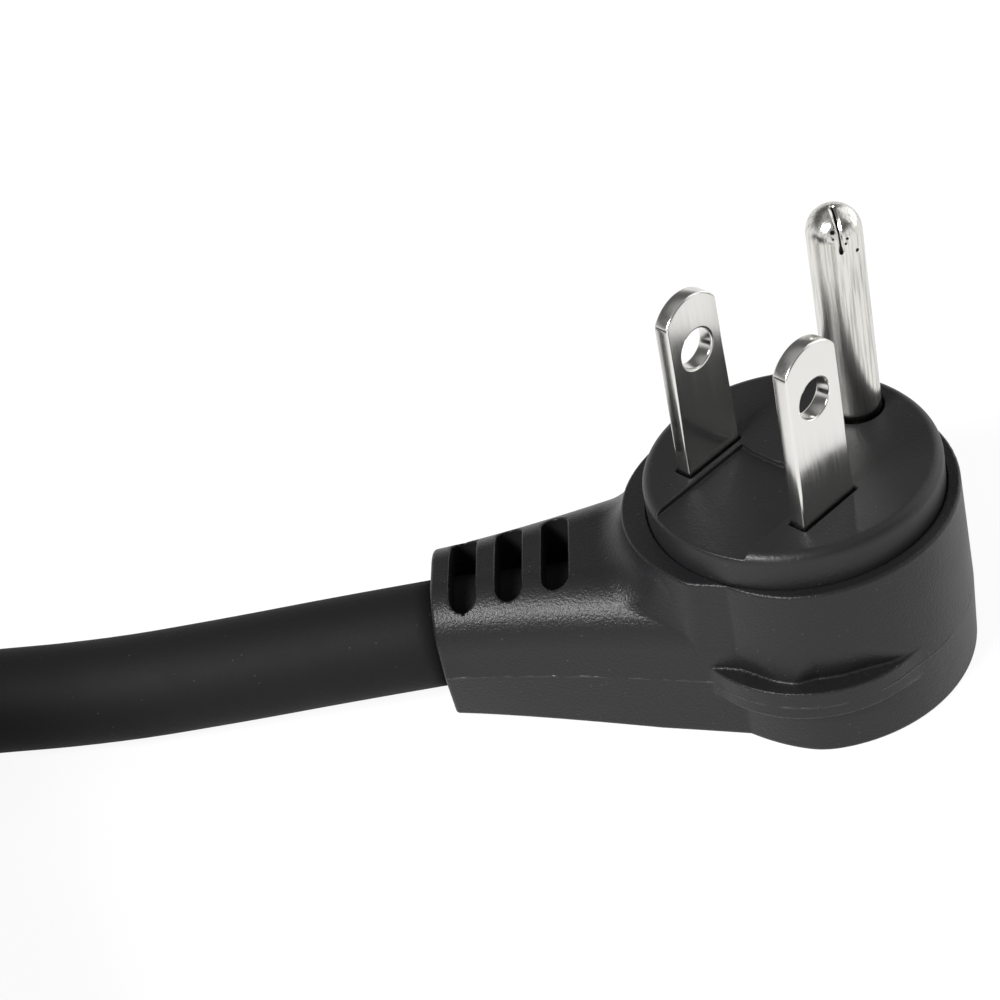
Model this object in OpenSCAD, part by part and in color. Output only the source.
// Three-wire supply cord for a caravan: a moulded angle plug, its flexible cord laid out
// on the ground and coiled for storage, and a moulded straight connector on the far end.
// Millimetres. The plug lies on its flat back with its blades up, and the origin is the
// centre of that back. The neutral blade is on the -X side and the ground pin on the +Y side.

/* [Plug barrel] */
// Radius of the overmould at its open rim
barrel_r = 14.0; // [13.6:0.1:15.2]
// How much wider the barrel is at the parting line than at its rim, each side
barrel_flare = 0.35; // [0:0.05:0.8]
// Height of the rim above the flat back
rim_z = 17.6; // [17.2:0.1:19]
// Height of the mould's parting line above the flat back
parting_z = 6.4; // [5.8:0.1:6.8]
// How far the rim swells towards the cord
rim_swell = 1.1; // [0.4:0.1:1.6]
// Small chamfer on the moulded edges
edge_cut = 0.3; // [0.1:0.05:0.5]
// Thickness of the overmould's floor under the inner mould
floor_t = 3.0; // [2.4:0.1:3.2]
// Thickness of the overmould's wall round the inner mould
wall_t = 2.8; // [2:0.1:3.2]
// Thickness of the inner mould over the outermost wire and over the jacket
mould_cover = 1.0; // [0.8:0.05:1.2]

/* [Plug face] */
// Width of the overmould's rim round the raised face disc
rim_w = 1.2; // [0.8:0.1:1.8]
// Height of the face above the overmould's rim
face_step = 3.4; // [2.6:0.1:4.4]
// How deep the blade carrier is seated below the rim
carrier_seat = 3.0; // [2.4:0.1:3.6]
// Rounding of the disc's top edge
disc_round = 1.0; // [0.4:0.1:1.4]
// Depth of the blank panel sunk into the face
panel_depth = 0.5; // [0.2:0.05:0.7]
// Half the width of the blank panel
panel_half_w = 4.9; // [3.6:0.1:5]
// Radius of the arc that closes the panel behind the blades
panel_arc_r = 10.6; // [9.6:0.1:11]
// Distance from the barrel's axis to the centre of that arc, towards the ground pin
panel_arc_y = 9.6; // [9.2:0.1:10.2]
// How far the centre of that arc lies towards the neutral blade
panel_arc_shift = 2.1; // [0:0.1:2.6]

/* [Blades] */
// Distance between the two flat blades, centre to centre
blade_pitch = 12.7; // [12.4:0.1:13]
// Distance from the blades' row to the ground pin
ground_offset = 11.9; // [11.6:0.1:12.2]
// How far the blades' row is set back from the barrel's axis
blade_row_y = 3.36; // [3.1:0.02:3.6]
// Width of a blade
blade_w = 6.3; // [6:0.1:6.6]
// Thickness of a blade
blade_t = 1.5; // [1.4:0.05:1.6]
// Height of a blade's tip above the face
blade_length = 16.7; // [15.9:0.1:18.3]
// Height of the arched part of the tip
tip_arch = 1.65; // [1.2:0.05:2.4]
// Radius of the hole through a blade
blade_hole_r = 1.8; // [1.6:0.05:2.1]
// Height of that hole above the face
blade_hole_z = 11.5; // [10.9:0.1:12.1]
// Width of a blade's tail inside the plug
tail_w = 3.2; // [2.8:0.1:3.6]

/* [Ground pin] */
// Radius of the ground pin
ground_r = 2.35; // [2.3:0.01:2.45]
// Height of the ground pin's tip above the face
ground_length = 20.5; // [20:0.1:21.6]
// Radius of the hollow inside the rolled pin
ground_hollow_r = 1.1; // [0.8:0.05:1.4]
// Width of the seam where the rolled pin closes
seam_w = 0.3; // [0.2:0.05:0.5]
// How far the seam stands open below the tip
seam_length = 3.6; // [3:0.1:6]
// Heading of the seam, seen from above
seam_angle = 318; // [300:1:340]
// How much thinner the pin's root is inside the face
root_step = 0.2; // [0.1:0.05:0.4]

/* [Crimps] */
// Radius of a crimp barrel outside
crimp_r = 1.5; // [1.4:0.05:1.6]
// Length of a crimp barrel
crimp_length = 4; // [3.4:0.1:4.4]
// Height of the neutral crimp above the flat back
crimp_high_z = 10; // [9.8:0.1:10.4]
// Height of the hot and ground crimps above the flat back
crimp_low_z = 6.5; // [6:0.1:6.8]

/* [Boot] */
// Distance from the barrel's axis to the boot's end
boot_length = 32.6; // [31:0.2:36]
// Half the boot's width at its end, at the parting line
boot_end_half_w = 6.0; // [5.8:0.1:6.6]
// Half the boot's width at its end, along the bottom
boot_end_half_low = 4.9; // [4.4:0.1:5.2]
// Height of the boot's top at its end
boot_end_top = 13.8; // [13.2:0.1:14.6]
// Height of the boot's underside at its end
boot_end_low = 1.0; // [0.6:0.1:1.2]
// Half the boot's width where it leaves the barrel
boot_root_half_w = 11.3; // [10.8:0.1:11.8]
// Where the boot's flank leaves the barrel, along the cord
boot_root = 6.6; // [6:0.1:7.4]
// Height of the boot's top just outside the barrel
boot_top = 14.95; // [14.4:0.05:15.6]
// Radius of the boot's top shoulders at its end
shoulder_r = 4.5; // [4:0.1:5]
// Radius of the hollow blend between the boot's top and the barrel
blend_r = 2.8; // [2:0.1:3.2]

/* [Strain relief windows] */
// Number of windows cut through the boot's top
window_count = 3; // [1:1:3]
// Width of a window
window_w = 2.4; // [1.8:0.1:2.8]
// Distance between windows, centre to centre
window_pitch = 4.15; // [3.8:0.05:4.4]
// Distance from the boot's end to the first window's centre
window_first = 2.9; // [2.4:0.1:3.4]
// Half the length of a window, across the boot
window_half = 4.7; // [4.2:0.1:4.9]
// Height of a window's floor above the flat back
window_floor = 7.2; // [6.8:0.1:8.4]

/* [Finger grip] */
// How far the finger lip stands out of the barrel
lip_out = 1.0; // [0.7:0.05:1.3]
// Height of the lip's upper edge above the flat back
lip_top = 8.0; // [7.4:0.1:8.4]
// Height of the lip from its lower edge to its upper edge
lip_h = 3.0; // [2.4:0.1:3.6]
// Radius of the lip seen from above
lip_r = 11.0; // [10.6:0.1:11.6]
// Height of the groove above the lip
groove_h = 3.2; // [2.4:0.1:4]
// Depth of the groove where it meets the lip
groove_depth = 0.9; // [0.5:0.1:1.2]
// Radius of the groove's floor seen from above
groove_r = 17.5; // [16.8:0.1:18.4]

/* [Cord] */
// Diameter of the cord's jacket
cord_d = 9.6; // [9:0.1:9.8]
// Height of the cord's axis where it leaves the plug
cord_z = 6.7; // [6.5:0.05:6.9]
// Diameter of one insulated wire
core_d = 3.3; // [3:0.05:3.3]
// Diameter of the stranded copper in a wire
copper_d = 1.8; // [1.5:0.05:1.85]
// How far the jacket reaches into the boot
jacket_grip = 14; // [13.4:0.1:14.4]

/* [Coil] */
// Radius of the coil at the middle of its turns
coil_r = 71; // [66:1:78]
// Turns side by side in one layer
coil_columns = 4; // [3:1:5]
// Layers of turns on top of each other
coil_layers = 4; // [3:1:5]
// Width of a tie strap
tie_w = 14; // [10:1:20]
// Thickness of a tie strap
tie_t = 1.2; // [0.8:0.1:1.6]

/* [Connector] */
// Radius of the connector's face
conn_r = 14.0; // [13.6:0.1:15]
// Length of the connector's body
conn_body = 42; // [40:0.5:46]
// Length of the ribbed relief behind the body
conn_relief = 26; // [24:0.5:30]
// Length of the taper from the body's narrow end to its full width
conn_taper = 12; // [10:0.5:14]
// How far the jacket reaches into the body
conn_grip = 4; // [3:0.5:5]
// Radius of the body's narrow end
conn_neck_r = 9.6; // [9:0.1:10.4]
// How far the relief is set in from the body's narrow end
conn_step = 1.4; // [1:0.1:1.8]
// Radius of the relief's end
conn_end_r = 6.6; // [6.4:0.1:7.2]
// Number of grooves round the relief
relief_grooves = 5; // [3:1:6]
// Width of a groove round the relief
relief_groove_w = 1.6; // [1.2:0.1:2]
// Thickness of the relief under its grooves
relief_wall = 0.9; // [0.7:0.1:1.1]
// Depth of a finger flat at the body's side
flat_depth = 1.1; // [0.6:0.1:1.2]
// Radius of the hollow that makes a finger flat
flat_r = 60; // [50:1:70]
// Distance from the face to the middle of the finger flats
flat_back = 20; // [18:0.5:22]
// Number of grip ribs on a finger flat
rib_count = 4; // [2:1:5]
// Distance between grip ribs
rib_pitch = 3.2; // [2.8:0.1:3.6]
// Radius of a grip rib
rib_r = 0.8; // [0.6:0.1:1]
// Length of a grip rib
rib_length = 8; // [6:0.5:10]
// Thickness of the overmould round the contact block
conn_wall = 1.8; // [1.6:0.1:2]
// Length of the contact block
block_length = 21; // [20:0.5:23]
// Width of the chamber behind a blade's slot
chamber_w = 4; // [3.8:0.1:4.4]
// Thickness of the contact block's front plate
plate_t = 3.0; // [2.4:0.1:3.6]
// Height of the slot for the neutral blade
slot_neutral = 8.2; // [7.9:0.1:8.4]
// Height of the slot for the hot blade
slot_hot = 6.8; // [6.7:0.1:7]
// Width of both slots
slot_w = 2.0; // [1.9:0.05:2.2]
// Radius of the hole for the ground pin
socket_r = 2.6; // [2.55:0.01:2.7]
// Thickness of the sheet that the contacts are bent from
leaf_t = 0.6; // [0.5:0.05:0.7]
// Width of a blade contact's leaves
leaf_w = 5.4; // [5:0.1:5.8]
// Length of the contacts from mouth to base
contact_length = 14; // [13:0.5:15]
// How far a contact's leaves are sprung closer than a blade is thick
leaf_pinch = 0.2; // [0.1:0.05:0.3]

/* [Fits] */
// Gap between parts that are moulded round each other
mould_gap = 0.05; // [0.03:0.01:0.1]
// Gap round a blade or pin where it leaves the face
blade_gap = 0.2; // [0.1:0.02:0.25]
// Thickness of the jacket's web between two wires
core_gap = 0.1; // [0.05:0.01:0.15]
// Gap between the coil and its ties
tie_gap = 0.4; // [0.3:0.05:0.6]

/* [Hidden] */
$fn = 48;
HULL_FN = 32;
SIDES = 12;
EPS = 0.01;
SLAB = 0.1;

// The cord leaves the plug at this heading, and its route below was laid out for it.
exit_angle = 225;

// How fast the boot's flanks draw in, along the parting line and along the bottom.
flank_curve = 1.4;
low_curve = 1.15;

// Where the flat in front of each flank starts on the barrel, and where it ends on the boot.
flat_start = 0.5;
flat_end = boot_root + 3.7;

face_z = rim_z + face_step;
carrier_z = rim_z - carrier_seat;
flare_r = barrel_r + barrel_flare;
mould_r = barrel_r - wall_t;
disc_r = barrel_r - rim_w;
neck_r = cord_d / 2 + mould_cover;
block_side = 0.4;
neck_z = cord_z + 0.9;
jacket_start = boot_length - jacket_grip;
copper_r = copper_d / 2;
core_r = core_d / 2;
core_ring = (core_d + 2 * mould_gap + core_gap) / sqrt(3);
crimp_bore = copper_r + mould_gap;
lead_out = 0.6;
mouth_gap = 0.3;
chamber_gap = 0.6;
tip_r = (pow(blade_w / 2, 2) + pow(tip_arch, 2)) / (2 * tip_arch);

// Where each blade stands, and the same place seen along and across the cord.
neutral_xy = [-blade_pitch / 2, -blade_row_y];
hot_xy = [blade_pitch / 2, -blade_row_y];
ground_xy = [0, ground_offset - blade_row_y];
function to_cord(p) = [
    p.x * cos(exit_angle) + p.y * sin(exit_angle),
    p.y * cos(exit_angle) - p.x * sin(exit_angle)
];

// Places of the three wires round the cord's axis: neutral on top, hot and ground below.
function core_place(i) = core_ring * [cos(90 - 120 * i), sin(90 - 120 * i)];

// Route of the cord on the ground, from the boot's end to the coil, by hand.
cord_exit = [boot_length * cos(exit_angle), boot_length * sin(exit_angle), cord_z];
run_route = [
    cord_exit,
    [-27, -27.2, 6.5], [-31, -31.3, 6.2], [-35, -35.3, 5.8], [-39, -39.2, 5.4],
    [-43.5, -43.5, 5.0], [-48.5, -48.1, 4.8], [-54, -53, 4.8], [-61.5, -59.8, 4.8],
    [-70, -67.6, 4.8], [-79, -76, 4.9], [-88, -84.5, 5.3], [-97, -93, 5.8],
    [-106, -101.7, 6.2], [-115.4, -110.7, 6.4]
];

// Route of the cord from the coil's top down to the connector, by hand.
coil_centre = [-58, -174];
end_route = [
    [-140.5, -151.9, 35.2], [-145.9, -171, 35.2], [-149.1, -190.2, 33.6],
    [-147.2, -210, 29], [-139, -228.6, 22.5], [-127.1, -245, 15.5],
    [-119, -253.2, 10.8], [-110, -261, 7], [-100, -267.8, 5.2], [-89, -273.5, 5.2],
    [-78, -277.6, 7.2], [-67, -279.8, 10.6], [-56, -280.5, 13.3], [-45, -280.5, 14]
];

coil_w = coil_columns * cord_d;
coil_h = coil_layers * cord_d;
coil_z = tie_t + tie_gap;
tie_angles = [80, 260];

// The connector lies on the ground with its face towards +X.
conn_tail = end_route[len(end_route) - 1];
conn_length = conn_body + conn_relief;
block_r = conn_r - conn_wall;
conn_core_r = conn_neck_r - conn_wall - 1;
base_x = -plate_t - contact_length;
conn_crimp_x = base_x - 1.2;
conn_jacket_x = conn_grip - conn_body;
chamber_half = leaf_w / 2 + chamber_gap;
seal_t = 4;

// ---------------------------------------------------------------- swept round lengths

function unit(v) = v / norm(v);
function tangent(path, i) =
    unit(path[min(i + 1, len(path) - 1)] - path[max(i - 1, 0)]);
function side_of(t) = unit(cross(t, [0, 0, 1]));
function ring(path, r, n) = [
    for (i = [0:len(path) - 1])
        let (t = tangent(path, i), s = side_of(t), u = cross(s, t))
            for (k = [0:n - 1]) path[i] + r * (cos(360 * k / n) * s + sin(360 * k / n) * u)
];
function skin(rings, n, first, flip) = [
    for (i = [0:rings - 2])
        for (k = [0:n - 1])
            let (a = first + i * n + k, b = first + i * n + (k + 1) % n)
                for (f = [[a, b, b + n], [a, b + n, a + n]])
                    flip ? [f[2], f[1], f[0]] : f
];
function cap(n, first, flip) = [
    flip ? [for (k = [n - 1:-1:0]) first + k] : [for (k = [0:n - 1]) first + k]
];
function rim_faces(n, outer, inner, flip) = [
    for (k = [0:n - 1])
        let (a = outer + k, b = outer + (k + 1) % n, c = inner + (k + 1) % n, d = inner + k)
            for (f = [[a, b, c], [a, c, d]]) flip ? [f[2], f[1], f[0]] : f
];

// A solid round length that follows a path.
module tube(path, r, n = SIDES) {
    last = (len(path) - 1) * n;
    polyhedron(
        points = ring(path, r, n),
        faces = concat(skin(len(path), n, 0, false), cap(n, 0, true), cap(n, last, false))
    );
}

// A hollow round length that follows a path.
module sleeve(path, r_out, r_in, n = SIDES) {
    count = len(path) * n;
    last = (len(path) - 1) * n;
    polyhedron(
        points = concat(ring(path, r_out, n), ring(path, r_in, n)),
        faces = concat(
            skin(len(path), n, 0, false),
            skin(len(path), n, count, true),
            rim_faces(n, 0, count, true),
            rim_faces(n, last, count + last, false)
        )
    );
}

// A smooth double bend between two places, level at both ends.
function bend(p, q, steps = 8) = [
    for (i = [0:steps])
        let (t = i / steps, h = [0.42 * (q.x - p.x), 0, 0])
            pow(1 - t, 3) * p + 3 * t * pow(1 - t, 2) * (p + h)
            + 3 * t * t * (1 - t) * (q - h) + pow(t, 3) * q
];

// ---------------------------------------------------------------- frames

module cord_side() {
    rotate([0, 0, exit_angle])
        children();
}

module at_connector() {
    translate([conn_tail.x + conn_length, conn_tail.y, conn_r])
        children();
}

// A round bar along X.
module bar_x(r, length) {
    rotate([0, 90, 0])
        cylinder(r = r, h = length);
}

// ---------------------------------------------------------------- plug: wires and blades

// Feet and crimp heights of the plug's three conductors, in the cord's own frame.
plug_feet = [to_cord(neutral_xy), to_cord(hot_xy), to_cord(ground_xy)];
plug_crimp_z = [crimp_high_z, crimp_low_z, crimp_low_z];
function plug_crimp(i) = [plug_feet[i].x, plug_feet[i].y, plug_crimp_z[i]];
function plug_core(i, x) = [x, core_place(i).x, cord_z + core_place(i).y];
function plug_mouth(i) = plug_crimp(i) + [lead_out + crimp_length + mouth_gap, 0, 0];
function plug_wire_path(i) = concat(
    [plug_core(i, boot_length)],
    bend(plug_core(i, jacket_start - 0.6), plug_mouth(i) + [0.4, 0, 0]),
    [plug_mouth(i)]
);
function plug_copper_path(i) = concat(
    plug_wire_path(i),
    [plug_crimp(i) + [lead_out + 0.6, 0, 0]]
);

module plug_wire(i) {
    cord_side()
        sleeve(plug_wire_path(i), core_r, copper_r + mould_gap);
}

module plug_copper(i) {
    cord_side()
        tube(plug_copper_path(i), copper_r);
}

// The round crimp barrel on a blade's tail, open towards the cord.
module crimp(i, grow = 0) {
    cord_side()
        translate(plug_crimp(i) - [crimp_r / 2, 0, 0])
            bar_x(crimp_r + grow, crimp_r / 2 + lead_out + crimp_length + grow);
}

module crimp_hole(i) {
    cord_side()
        translate(plug_crimp(i) + [lead_out + 0.4, 0, 0])
            bar_x(crimp_bore, crimp_length + 1);
}

// The flat tail that joins a blade to its crimp.
module blade_tail(p, low, grow = 0) {
    translate([p.x - blade_t / 2 - grow, p.y - tail_w / 2 - grow, low - grow])
        cube([blade_t + 2 * grow, tail_w + 2 * grow, carrier_z + 1 - low + grow]);
}

// A flat blade: arched tip, round hole, shoulders inside the carrier, tail and crimp.
module blade(p, i) {
    tip_z = face_z + blade_length;
    difference() {
        union() {
            intersection() {
                translate([p.x - blade_t / 2, p.y - blade_w / 2, carrier_z])
                    cube([blade_t, blade_w, tip_z - carrier_z]);
                union() {
                    translate([p.x - blade_t, p.y, tip_z - tip_r])
                        bar_x(tip_r, 2 * blade_t);
                    translate([p.x - blade_t, p.y - blade_w, carrier_z])
                        cube([2 * blade_t, 2 * blade_w, blade_length + face_z - carrier_z - tip_arch]);
                }
            }
            blade_tail(p, plug_crimp_z[i]);
            crimp(i);
        }
        translate([p.x - blade_t, p.y, face_z + blade_hole_z])
            bar_x(blade_hole_r, 2 * blade_t);
        crimp_hole(i);
    }
}

module neutral_blade() {
    color("silver")
        blade(neutral_xy, 0);
}

module hot_blade() {
    color("silver")
        blade(hot_xy, 1);
}

// The ground pin: rolled from sheet, hollow, domed at its tip, with an open seam.
module ground_pin() {
    dome_z = face_z + ground_length - ground_r;
    color("silver")
        translate([ground_xy.x, ground_xy.y, 0])
            difference() {
                union() {
                    translate([0, 0, carrier_z])
                        cylinder(r = ground_r - root_step, h = face_step + carrier_seat);
                    translate([0, 0, face_z])
                        cylinder(r = ground_r, h = dome_z - face_z);
                    translate([0, 0, dome_z])
                        intersection() {
                            sphere(r = ground_r);
                            translate([-2 * ground_r, -2 * ground_r, 0])
                                cube(4 * ground_r);
                        }
                    translate(-[ground_xy.x, ground_xy.y, 0]) {
                        blade_tail(ground_xy, plug_crimp_z[2]);
                        crimp(2);
                    }
                }
                translate([0, 0, carrier_z + 1])
                    cylinder(r = ground_hollow_r, h = dome_z - carrier_z - 1);
                rotate([0, 0, seam_angle])
                    translate([0, -seam_w / 2, face_z + ground_length - seam_length])
                        cube([2 * ground_r, seam_w, seam_length + 1]);
                translate(-[ground_xy.x, ground_xy.y, 0])
                    crimp_hole(2);
            }
}

// ---------------------------------------------------------------- plug: face and mouldings

// The hard carrier: a rounded disc with a sunk blank panel, slit for the blades.
module plug_face() {
    slit = [blade_t + 2 * blade_gap, blade_w + 2 * blade_gap, face_z];
    color("#2b2b2d")
        difference() {
            union() {
                translate([0, 0, carrier_z])
                    cylinder(r = disc_r, h = face_z - disc_round - carrier_z);
                translate([0, 0, face_z - disc_round])
                    rotate_extrude()
                        intersection() {
                            union() {
                                square([disc_r - disc_round, disc_round]);
                                translate([disc_r - disc_round, 0])
                                    circle(r = disc_round);
                            }
                            square([disc_r, disc_round]);
                        }
            }
            for (p = [neutral_xy, hot_xy])
                translate([p.x - slit.x / 2, p.y - slit.y / 2, carrier_z - 1])
                    cube(slit);
            translate([ground_xy.x, ground_xy.y, carrier_z - 1])
                cylinder(r = ground_r + blade_gap, h = face_z);
            difference() {
                translate([-panel_half_w, -disc_r - 1, face_z - panel_depth])
                    cube([2 * panel_half_w, disc_r + 1, 1]);
                translate([-panel_arc_shift, panel_arc_y, face_z - 1])
                    cylinder(r = panel_arc_r, h = 3);
            }
        }
}

// The space that the inner mould fills: a drum under the carrier, a neck to the jacket and
// a tapered block between them, round the two wires that come from the sides.
module inner_space(grow = 0) {
    cover = core_r + mould_cover + grow;
    spread = max(abs(plug_feet[1].y), abs(plug_feet[2].y)) + cover;
    narrow = neck_r + block_side + grow;
    translate([0, 0, floor_t - grow])
        cylinder(r = mould_r + grow, h = carrier_z - floor_t + grow);
    cord_side() {
        translate([0, 0, neck_z])
            bar_x(neck_r + grow, jacket_start);
        translate([0, 0, crimp_low_z])
            linear_extrude(2 * cover, center = true)
                polygon([
                    [0, -spread], [jacket_start, -narrow], [jacket_start, narrow], [0, spread]
                ]);
    }
}

module plug_inner_mould() {
    color("#d8d4c8")
        difference() {
            inner_space();
            translate([0, 0, carrier_z - mould_gap])
                cylinder(r = 2 * barrel_r, h = barrel_r);
            cord_side()
                translate([jacket_start - mould_gap, -barrel_r, 0])
                    cube(2 * barrel_r);
            for (i = [0:2])
                crimp(i, mould_gap);
            for (i = [0:1])
                blade_tail([neutral_xy, hot_xy][i], plug_crimp_z[i], mould_gap);
            blade_tail(ground_xy, plug_crimp_z[2], mould_gap);
            cord_side()
                for (i = [0:2])
                    tube(concat(plug_wire_path(i), [plug_crimp(i)]), core_r + mould_gap);
        }
}

module plug_jacket_end() {
    color("#1c1c1e")
        cord_side()
            difference() {
                translate([jacket_start, 0, cord_z])
                    bar_x(cord_d / 2, jacket_grip);
                for (i = [0:2])
                    translate(plug_core(i, jacket_start - 1))
                        bar_x(core_r + mould_gap, jacket_grip + 2);
            }
}

// The barrel's outside: widest at the parting line, drafted both ways.
module barrel_form() {
    low_r = flare_r - 0.1;
    rotate_extrude()
        polygon([
            [0, 0], [low_r - edge_cut, 0], [low_r, edge_cut], [flare_r, parting_z],
            [barrel_r, rim_z - edge_cut], [barrel_r - edge_cut, rim_z], [0, rim_z]
        ]);
}

// The same form a little nearer to the cord, kept only between the two flanks.
module barrel_swell() {
    intersection() {
        translate([rim_swell, 0, 0])
            barrel_form();
        translate([boot_root - 1, -barrel_r, 0])
            cube([2 * barrel_r, 2 * barrel_r, rim_z]);
    }
}

// The boot's outline along the cord, as half widths, top and underside.
function boot_share(x) = (x - boot_root) / (boot_length - boot_root);
function boot_half(x) =
    boot_end_half_w + (boot_root_half_w - boot_end_half_w) * pow(1 - boot_share(x), flank_curve);
function boot_half_low(x) =
    boot_end_half_low
    + (boot_root_half_w - 0.2 - boot_end_half_low) * pow(1 - boot_share(x), low_curve);
function boot_top_at(x) =
    x <= boot_root
        ? rim_z - edge_cut
        : boot_end_top + (boot_top - boot_end_top) * (boot_length - x) / (boot_length - barrel_r);
function boot_low_at(x) = boot_end_low * max(0, boot_share(x));

// One thin cross-section of the boot: round top shoulders, drafted lower half.
module boot_section(x) {
    r = shoulder_r + 0.8 * (1 - boot_share(x));
    half = boot_half(x);
    low_half = boot_half_low(x);
    low = boot_low_at(x);
    for (s = [-1, 1]) {
        translate([x, s * (half - r), boot_top_at(x) - r])
            rotate([0, 90, 0])
                cylinder(r = r, h = SLAB, $fn = HULL_FN);
        translate([x, s * half - (s > 0 ? SLAB : 0), parting_z])
            cube(SLAB);
        translate([x, s * low_half - (s > 0 ? SLAB : 0), low + edge_cut])
            cube(SLAB);
        translate([x, s * (low_half - edge_cut) - (s > 0 ? SLAB : 0), low])
            cube(SLAB);
    }
}

boot_stations = [
    boot_root, barrel_r + 0.5 * rim_swell, barrel_r + 0.4 * (boot_length - barrel_r),
    barrel_r + 0.7 * (boot_length - barrel_r), boot_length - SLAB
];

module boot_form() {
    for (i = [0:len(boot_stations) - 2])
        hull() {
            boot_section(boot_stations[i]);
            boot_section(boot_stations[i + 1]);
        }
}

// The hollow blend that runs from the boot's top up to the barrel's rim.
module boot_blend() {
    reach = 26;
    translate([rim_swell, 0, 0])
        rotate([0, 0, -reach])
            rotate_extrude(angle = 2 * reach)
                difference() {
                    translate([barrel_r - 1, boot_top - 3])
                        square([1 + blend_r, blend_r + 3 - edge_cut]);
                    translate([barrel_r + blend_r, boot_top + blend_r - edge_cut])
                        circle(r = blend_r);
                }
}

// The flats that meet the boot's flanks in a crease, one on each side.
module flank_flats() {
    for (s = [-1, 1])
        scale([1, s, 1])
            translate([0, 0, -1])
                linear_extrude(rim_z + 2)
                    polygon([
                        [flat_start, barrel_r], [boot_root, boot_root_half_w],
                        [flat_end, boot_half(flat_end)], [barrel_r, barrel_r],
                        [boot_root, barrel_r + 3], [flat_start, barrel_r + 3]
                    ]);
}

// The crescent lips under the fingers, one on each side, with a cut lower edge.
module finger_lips() {
    offset_y = flare_r + lip_out - lip_r;
    for (s = [-1, 1])
        translate([0, s * offset_y, lip_top - lip_h]) {
            cylinder(r1 = lip_r - edge_cut, r2 = lip_r, h = edge_cut);
            translate([0, 0, edge_cut])
                cylinder(r = lip_r, h = lip_h - edge_cut);
        }
}

// The grooves above the lips: deepest at the lip, running out upwards and at both ends.
module finger_grooves() {
    for (s = [-1, 1])
        translate([0, 0, lip_top])
            difference() {
                translate([-barrel_r, s > 0 ? boot_root_half_w / 2 : -2 * barrel_r, 0])
                    cube([barrel_r + boot_root, 2 * barrel_r - boot_root_half_w / 2, groove_h]);
                translate([0, s * (flare_r - groove_depth - groove_r), -EPS])
                    cylinder(r1 = groove_r, r2 = groove_r + groove_depth, h = groove_h + 2 * EPS);
            }
}

// The windows through the boot's top, round at both ends, down beside the jacket.
module relief_windows() {
    for (i = [0:window_count - 1])
        translate([boot_length - window_first - i * window_pitch, 0, window_floor])
            linear_extrude(rim_z)
                union() {
                    square([window_w, 2 * window_half - window_w], center = true);
                    for (s = [-1, 1])
                        translate([0, s * (window_half - window_w / 2)])
                            circle(d = window_w);
                }
}

module plug_overmould() {
    color("#323234")
        difference() {
            union() {
                difference() {
                    union() {
                        barrel_form();
                        cord_side()
                            barrel_swell();
                    }
                    cord_side()
                        flank_flats();
                    cord_side()
                        finger_grooves();
                }
                cord_side() {
                    boot_form();
                    boot_blend();
                    finger_lips();
                }
            }
            translate([0, 0, carrier_z - EPS])
                cylinder(r = disc_r + mould_gap, h = rim_z);
            inner_space(mould_gap);
            cord_side() {
                translate([jacket_start - 1, 0, cord_z])
                    bar_x(cord_d / 2 + mould_gap, jacket_grip + 2);
                relief_windows();
            }
        }
}

// ---------------------------------------------------------------- cord

module cord_run() {
    color("#1c1c1e")
        tube(run_route, cord_d / 2, 10);
}

module cord_end_run() {
    color("#1c1c1e")
        tube(end_route, cord_d / 2, 10);
}

// The outer shape of the wound cord, lifted off the ground by its ties.
module cord_coil() {
    color("#1c1c1e")
        translate([coil_centre.x, coil_centre.y, coil_z])
            rotate_extrude()
                translate([coil_r - coil_w / 2, 0])
                    square([coil_w, coil_h]);
}

// Two straps that hold the turns together, each a flat band bent round the winding.
module cord_ties() {
    inner_r = coil_r - coil_w / 2;
    inside = sqrt(pow(inner_r, 2) - pow(tie_w / 2, 2)) - tie_gap;
    outside = coil_r + coil_w / 2 + tie_gap;
    color("#3a3a3c")
        for (a = tie_angles)
            translate([coil_centre.x, coil_centre.y, 0])
                rotate([90, 0, a])
                    linear_extrude(tie_w, center = true)
                        difference() {
                            translate([inside - tie_t, 0])
                                square([outside - inside + 2 * tie_t, coil_h + 2 * coil_z]);
                            translate([inside, tie_t])
                                square([outside - inside, coil_h + 2 * tie_gap]);
                        }
}

// ---------------------------------------------------------------- connector

// Seen from the front, the sockets mirror the plug's blades. Y is across, Z is up.
conn_feet = [
    [blade_pitch / 2, -blade_row_y],
    [-blade_pitch / 2, -blade_row_y],
    [0, ground_offset - blade_row_y]
];
function conn_core(i, x) = [x, core_place(i).x, core_place(i).y];
function conn_crimp(i) = [conn_crimp_x, conn_feet[i].x, conn_feet[i].y];
function conn_mouth(i) = conn_crimp(i) - [crimp_length + mouth_gap, 0, 0];
function conn_wire_path(i) = concat(
    [conn_mouth(i)],
    bend(conn_mouth(i) - [0.4, 0, 0], conn_core(i, conn_jacket_x + 0.6)),
    [conn_core(i, -conn_length)]
);
function conn_copper_path(i) = concat([conn_crimp(i) - [0.8, 0, 0]], conn_wire_path(i));

module conn_wire(i) {
    at_connector()
        sleeve(conn_wire_path(i), core_r, copper_r + mould_gap);
}

module conn_copper(i) {
    at_connector()
        tube(conn_copper_path(i), copper_r);
}

// Round crimp barrel behind a contact, open towards the cord.
module conn_crimp_form(i, grow = 0) {
    translate(conn_crimp(i) - [crimp_length + grow, 0, 0])
        bar_x(crimp_r + grow, crimp_length + 1 + grow);
}

module conn_crimp_hole(i) {
    translate(conn_crimp(i) - [crimp_length + 1, 0, 0])
        bar_x(crimp_bore, crimp_length + 0.6);
}

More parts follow.
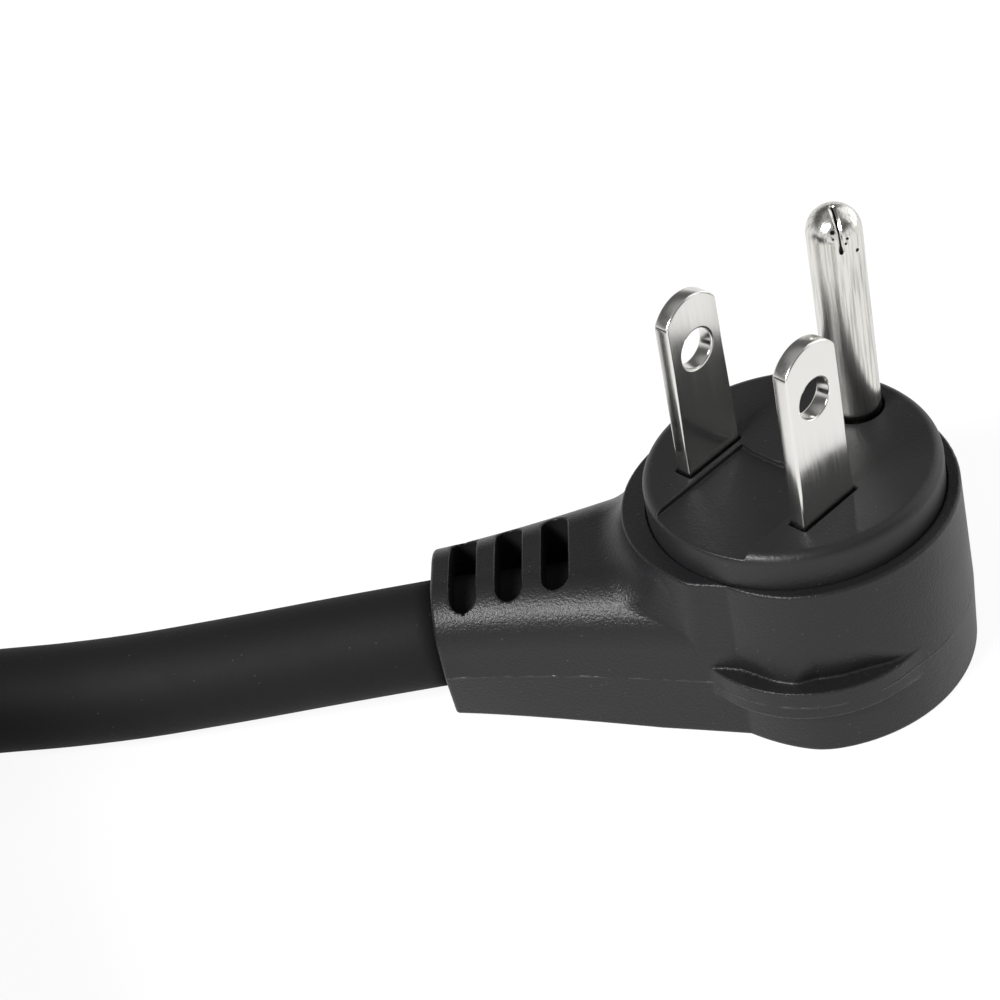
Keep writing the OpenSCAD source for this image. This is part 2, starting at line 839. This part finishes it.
// A blade contact: two sprung leaves on a base, with flared mouths.
module blade_contact(i) {
    gap = blade_t - leaf_pinch;
    at_connector()
        difference() {
            union() {
                translate([base_x, conn_feet[i].x - gap / 2 - leaf_t, conn_feet[i].y - leaf_w / 2])
                    cube([leaf_t, gap + 2 * leaf_t, leaf_w]);
                for (s = [-1, 1])
                    translate([base_x, conn_feet[i].x + s * (gap + leaf_t) / 2, conn_feet[i].y])
                        linear_extrude(leaf_w, center = true)
                            polygon([
                                [0, -leaf_t / 2], [contact_length - 2, -leaf_t / 2],
                                [contact_length - mould_gap, -leaf_t / 2 + s * 0.5],
                                [contact_length - mould_gap, leaf_t / 2 + s * 0.5],
                                [contact_length - 2, leaf_t / 2], [0, leaf_t / 2]
                            ]);
                translate([conn_crimp_x - EPS, conn_feet[i].x - gap / 2, conn_feet[i].y - tail_w / 2])
                    cube([base_x - conn_crimp_x + 2 * EPS, gap, tail_w]);
                conn_crimp_form(i);
            }
            conn_crimp_hole(i);
        }
}

module neutral_contact() {
    color("goldenrod")
        blade_contact(0);
}

module hot_contact() {
    color("goldenrod")
        blade_contact(1);
}

// The ground contact: a split spring sleeve.
module ground_contact() {
    color("goldenrod")
        at_connector()
            difference() {
                union() {
                    translate([base_x, conn_feet[2].x, conn_feet[2].y])
                        bar_x(ground_r + leaf_t, contact_length - mould_gap);
                    conn_crimp_form(2);
                    translate([conn_crimp_x - EPS, conn_feet[2].x, conn_feet[2].y])
                        bar_x(crimp_r, base_x - conn_crimp_x + 2 * EPS);
                }
                translate([base_x + 1, conn_feet[2].x, conn_feet[2].y])
                    bar_x(ground_r + mould_gap, contact_length);
                translate([base_x + 3, conn_feet[2].x - seam_w, conn_feet[2].y])
                    cube([contact_length, 2 * seam_w, 2 * ground_r]);
                conn_crimp_hole(2);
            }
}

// The hard block with two slots, a round hole and a chamber behind each.
module connector_face() {
    color("#2b2b2d")
        at_connector()
            difference() {
                translate([-block_length, 0, 0])
                    bar_x(block_r, block_length);
                for (i = [0:1])
                    translate([-plate_t - 1, conn_feet[i].x - slot_w / 2,
                            conn_feet[i].y - [slot_neutral, slot_hot][i] / 2])
                        cube([plate_t + 2, slot_w, [slot_neutral, slot_hot][i]]);
                translate([-plate_t - 1, conn_feet[2].x, conn_feet[2].y])
                    bar_x(socket_r, plate_t + 2);
                for (i = [0:1])
                    translate([
                        -block_length - 1, conn_feet[i].x - chamber_w / 2,
                        conn_feet[i].y - chamber_half
                    ])
                        cube([block_length + 1 - plate_t, chamber_w, 2 * chamber_half]);
                translate([-block_length - 1, conn_feet[2].x, conn_feet[2].y])
                    bar_x(ground_r + leaf_t + 0.2, block_length + 1 - plate_t);
            }
}

// The soft inner mould between the block and the jacket, closed round the crimps.
module connector_inner_mould() {
    color("#d8d4c8")
        at_connector()
            difference() {
                union() {
                    translate([-block_length - seal_t, 0, 0])
                        bar_x(block_r, seal_t - mould_gap);
                    translate([conn_jacket_x + mould_gap, 0, 0])
                        rotate([0, 90, 0])
                            cylinder(
                                r1 = conn_core_r, r2 = block_r,
                                h = -block_length - seal_t - conn_jacket_x - mould_gap
                            );
                }
                for (i = [0:2]) {
                    conn_crimp_form(i, mould_gap);
                    tube(
                        concat([conn_crimp(i)], conn_wire_path(i), [conn_core(i, -conn_length - 1)]),
                        core_r + mould_gap
                    );
                }
            }
}

module connector_jacket_end() {
    color("#1c1c1e")
        at_connector()
            difference() {
                translate([-conn_length, 0, 0])
                    bar_x(cord_d / 2, conn_length + conn_jacket_x);
                for (i = [0:2])
                    translate(conn_core(i, -conn_length - 1))
                        bar_x(core_r + mould_gap, conn_length + conn_jacket_x + 2);
            }
}

// The connector's overmould: a turned body with a grip waist, finger flats with ribs,
// and a relief cut by grooves.
module connector_form() {
    first = 2.6;
    pitch = (conn_relief - first - conn_step) / relief_grooves;
    translate([-conn_length, 0, 0])
        rotate([0, 90, 0])
            difference() {
                rotate_extrude()
                    polygon([
                        [0, 0], [conn_end_r, 0], [conn_neck_r - conn_step, conn_relief],
                        [conn_neck_r, conn_relief + 1], [conn_r - 1, conn_relief + conn_taper - 3],
                        [conn_r, conn_relief + conn_taper], [conn_r, conn_length - 0.8],
                        [conn_r - 0.8, conn_length], [0, conn_length]
                    ]);
                for (i = [0:relief_grooves - 1])
                    translate([0, 0, first + i * pitch])
                        difference() {
                            cylinder(r = conn_neck_r, h = relief_groove_w);
                            translate([0, 0, -1])
                                cylinder(r = cord_d / 2 + relief_wall, h = relief_groove_w + 2);
                        }
            }
}

// The hollows at the body's sides that make the finger flats.
module connector_grip() {
    for (s = [-1, 1])
        translate([-flat_back, s * (conn_r - flat_depth + flat_r), -conn_r])
            cylinder(r = flat_r, h = 2 * conn_r, $fn = 96);
}

module connector_ribs() {
    for (s = [-1, 1])
        for (i = [0:rib_count - 1])
            translate([
                -flat_back + (i - (rib_count - 1) / 2) * rib_pitch,
                s * (conn_r - flat_depth - rib_r / 4), -rib_length / 2
            ])
                cylinder(r = rib_r, h = rib_length);
}

module connector_overmould() {
    color("#323234")
        at_connector()
            difference() {
                union() {
                    difference() {
                        connector_form();
                        connector_grip();
                    }
                    connector_ribs();
                }
                translate([-block_length - seal_t - mould_gap, 0, 0])
                    bar_x(block_r + mould_gap, block_length + seal_t + 1);
                translate([conn_jacket_x - mould_gap, 0, 0])
                    rotate([0, 90, 0])
                        cylinder(
                            r1 = conn_core_r + mould_gap, r2 = block_r + mould_gap,
                            h = -block_length - seal_t - conn_jacket_x
                        );
                translate([-conn_length - 1, 0, 0])
                    bar_x(cord_d / 2 + mould_gap, conn_length + conn_jacket_x + 2);
            }
}

// ---------------------------------------------------------------- nodes

module plug_neutral_wire() {
    color("white")
        plug_wire(0);
}

module plug_hot_wire() {
    color("#202020")
        plug_wire(1);
}

module plug_ground_wire() {
    color("green")
        plug_wire(2);
}

module plug_neutral_copper() {
    color("#b87333")
        plug_copper(0);
}

module plug_hot_copper() {
    color("#b87333")
        plug_copper(1);
}

module plug_ground_copper() {
    color("#b87333")
        plug_copper(2);
}

module connector_neutral_wire() {
    color("white")
        conn_wire(0);
}

module connector_hot_wire() {
    color("#202020")
        conn_wire(1);
}

module connector_ground_wire() {
    color("green")
        conn_wire(2);
}

module connector_neutral_copper() {
    color("#b87333")
        conn_copper(0);
}

module connector_hot_copper() {
    color("#b87333")
        conn_copper(1);
}

module connector_ground_copper() {
    color("#b87333")
        conn_copper(2);
}

plug_overmould();
plug_face();
plug_inner_mould();
neutral_blade();
hot_blade();
ground_pin();
plug_neutral_wire();
plug_hot_wire();
plug_ground_wire();
plug_neutral_copper();
plug_hot_copper();
plug_ground_copper();
plug_jacket_end();
cord_run();
cord_coil();
cord_ties();
cord_end_run();
connector_overmould();
connector_face();
connector_inner_mould();
neutral_contact();
hot_contact();
ground_contact();
connector_neutral_wire();
connector_hot_wire();
connector_ground_wire();
connector_neutral_copper();
connector_hot_copper();
connector_ground_copper();
connector_jacket_end();
